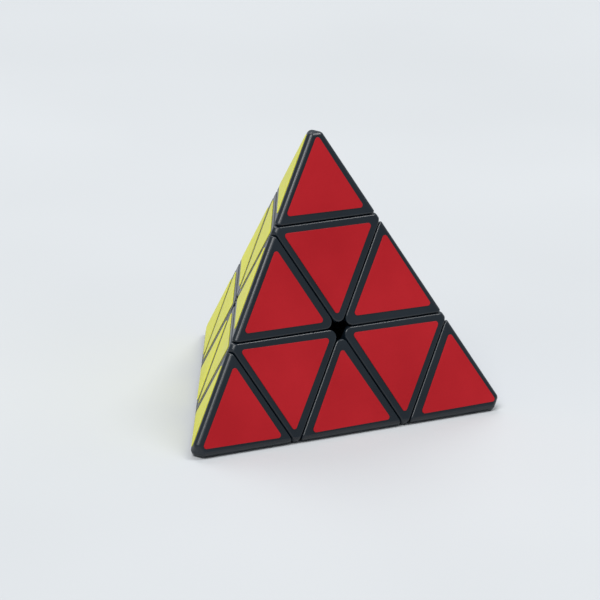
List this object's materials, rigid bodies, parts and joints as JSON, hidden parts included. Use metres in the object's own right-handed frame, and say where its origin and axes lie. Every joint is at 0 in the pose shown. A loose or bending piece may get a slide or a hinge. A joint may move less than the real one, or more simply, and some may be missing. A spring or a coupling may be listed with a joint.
{
  "type": "pyramid twisty puzzle",
  "caption": "Tetrahedral twisty puzzle with coloured triangle stickers on black plastic; its corner layers and small tips turn about axes from the centre to the corners.",
  "frame": {"origin": "centre of the core ball, where the four turning axes meet", "axes": "+Z along the turning axis of the apex, up; -Y towards the red face; +X to the right of the red face"},
  "size_m": [0.091, 0.0796, 0.075],
  "materials": {
    "black_plastic": "satin",
    "core_plastic": "matte",
    "steel": "brushed",
    "red_vinyl": "satin",
    "yellow_vinyl": "satin",
    "blue_vinyl": "satin",
    "green_vinyl": "satin"
  },
  "bodies": {
    "core": {"core": "core_plastic", "screw_apex": "steel", "screw_front_left": "steel", "screw_front_right": "steel", "screw_rear": "steel", "spring_apex": "steel", "spring_front_left": "steel", "spring_front_right": "steel", "spring_rear": "steel"},
    "axial_apex": {"axial_apex": "black_plastic", "sticker_axial_apex_blue": "blue_vinyl", "sticker_axial_apex_yellow": "yellow_vinyl", "sticker_axial_apex_red": "red_vinyl"},
    "axial_front_left": {"axial_front_left": "black_plastic", "sticker_axial_front_left_green": "green_vinyl", "sticker_axial_front_left_yellow": "yellow_vinyl", "sticker_axial_front_left_red": "red_vinyl"},
    "axial_front_right": {"axial_front_right": "black_plastic", "sticker_axial_front_right_green": "green_vinyl", "sticker_axial_front_right_blue": "blue_vinyl", "sticker_axial_front_right_red": "red_vinyl"},
    "axial_rear": {"axial_rear": "black_plastic", "sticker_axial_rear_green": "green_vinyl", "sticker_axial_rear_blue": "blue_vinyl", "sticker_axial_rear_yellow": "yellow_vinyl"},
    "tip_apex": {"tip_apex": "black_plastic", "sticker_tip_apex_blue": "blue_vinyl", "sticker_tip_apex_yellow": "yellow_vinyl", "sticker_tip_apex_red": "red_vinyl"},
    "tip_front_left": {"tip_front_left": "black_plastic", "sticker_tip_front_left_green": "green_vinyl", "sticker_tip_front_left_yellow": "yellow_vinyl", "sticker_tip_front_left_red": "red_vinyl"},
    "tip_front_right": {"tip_front_right": "black_plastic", "sticker_tip_front_right_green": "green_vinyl", "sticker_tip_front_right_blue": "blue_vinyl", "sticker_tip_front_right_red": "red_vinyl"},
    "tip_rear": {"tip_rear": "black_plastic", "sticker_tip_rear_green": "green_vinyl", "sticker_tip_rear_blue": "blue_vinyl", "sticker_tip_rear_yellow": "yellow_vinyl"},
    "edge_apex_front_left": {"edge_apex_front_left": "black_plastic", "sticker_edge_apex_front_left_yellow": "yellow_vinyl", "sticker_edge_apex_front_left_red": "red_vinyl"},
    "edge_apex_front_right": {"edge_apex_front_right": "black_plastic", "sticker_edge_apex_front_right_blue": "blue_vinyl", "sticker_edge_apex_front_right_red": "red_vinyl"},
    "edge_apex_rear": {"edge_apex_rear": "black_plastic", "sticker_edge_apex_rear_blue": "blue_vinyl", "sticker_edge_apex_rear_yellow": "yellow_vinyl"},
    "edge_front_left_front_right": {"edge_front_left_front_right": "black_plastic", "sticker_edge_front_left_front_right_green": "green_vinyl", "sticker_edge_front_left_front_right_red": "red_vinyl"},
    "edge_front_left_rear": {"edge_front_left_rear": "black_plastic", "sticker_edge_front_left_rear_green": "green_vinyl", "sticker_edge_front_left_rear_yellow": "yellow_vinyl"},
    "edge_front_right_rear": {"edge_front_right_rear": "black_plastic", "sticker_edge_front_right_rear_green": "green_vinyl", "sticker_edge_front_right_rear_blue": "blue_vinyl"}
  },
  "joints": [
    {"name": "layer_apex_turn", "type": "hinge", "parent": "core", "child": "axial_apex", "pos_m": [0, 0, 0], "axis": [0, 0, 1], "range_deg": [-240, 180]},
    {"name": "layer_front_left_turn", "type": "hinge", "parent": "core", "child": "axial_front_left", "pos_m": [0, 0, 0], "axis": [-0.8165, -0.4714, -0.3333], "range_deg": [-240, 360]},
    {"name": "layer_front_right_turn", "type": "hinge", "parent": "core", "child": "axial_front_right", "pos_m": [0, 0, 0], "axis": [0.8165, -0.4714, -0.3333], "range_deg": [-240, 360]},
    {"name": "layer_rear_turn", "type": "hinge", "parent": "core", "child": "axial_rear", "pos_m": [0, 0, 0], "axis": [0, 0.9428, -0.3333], "range_deg": [-240, 360]},
    {"name": "tip_apex_turn", "type": "hinge", "parent": "axial_apex", "child": "tip_apex", "pos_m": [0, 0, 0], "axis": [0, 0, 1], "continuous": true},
    {"name": "tip_front_left_turn", "type": "hinge", "parent": "axial_front_left", "child": "tip_front_left", "pos_m": [0, 0, 0], "axis": [-0.8165, -0.4714, -0.3333], "continuous": true},
    {"name": "tip_front_right_turn", "type": "hinge", "parent": "axial_front_right", "child": "tip_front_right", "pos_m": [0, 0, 0], "axis": [0.8165, -0.4714, -0.3333], "continuous": true},
    {"name": "tip_rear_turn", "type": "hinge", "parent": "axial_rear", "child": "tip_rear", "pos_m": [0, 0, 0], "axis": [0, 0.9428, -0.3333], "continuous": true},
    {"name": "edge_apex_front_left_carried", "type": "hinge", "parent": "axial_apex", "child": "edge_apex_front_left", "pos_m": [0, 0, 0], "axis": [-0.8165, -0.4714, -0.3333], "range_deg": [-240, 360]},
    {"name": "edge_apex_front_right_carried", "type": "hinge", "parent": "axial_apex", "child": "edge_apex_front_right", "pos_m": [0, 0, 0], "axis": [0.8165, -0.4714, -0.3333], "range_deg": [-240, 360]},
    {"name": "edge_apex_rear_carried", "type": "hinge", "parent": "axial_apex", "child": "edge_apex_rear", "pos_m": [0, 0, 0], "axis": [0, 0.9428, -0.3333], "range_deg": [-240, 360]},
    {"name": "edge_front_left_front_right_carried", "type": "hinge", "parent": "axial_front_left", "child": "edge_front_left_front_right", "pos_m": [0, 0, 0], "axis": [0.8165, -0.4714, -0.3333], "range_deg": [-240, 360]},
    {"name": "edge_front_right_rear_carried", "type": "hinge", "parent": "axial_front_right", "child": "edge_front_right_rear", "pos_m": [0, 0, 0], "axis": [0, 0.9428, -0.3333], "range_deg": [-240, 360]},
    {"name": "edge_front_left_rear_carried", "type": "hinge", "parent": "axial_rear", "child": "edge_front_left_rear", "pos_m": [0, 0, 0], "axis": [-0.8165, -0.4714, -0.3333], "range_deg": [-240, 360]}
  ],
  "couplings": [
    {"joint": "edge_apex_front_left_carried", "follows": "layer_front_left_turn", "ratio": 1},
    {"joint": "edge_apex_front_right_carried", "follows": "layer_front_right_turn", "ratio": 1},
    {"joint": "edge_apex_rear_carried", "follows": "layer_rear_turn", "ratio": 1},
    {"joint": "edge_front_left_front_right_carried", "follows": "layer_front_right_turn", "ratio": 1},
    {"joint": "edge_front_right_rear_carried", "follows": "layer_rear_turn", "ratio": 1},
    {"joint": "edge_front_left_rear_carried", "follows": "layer_front_left_turn", "ratio": 1}
  ]
}
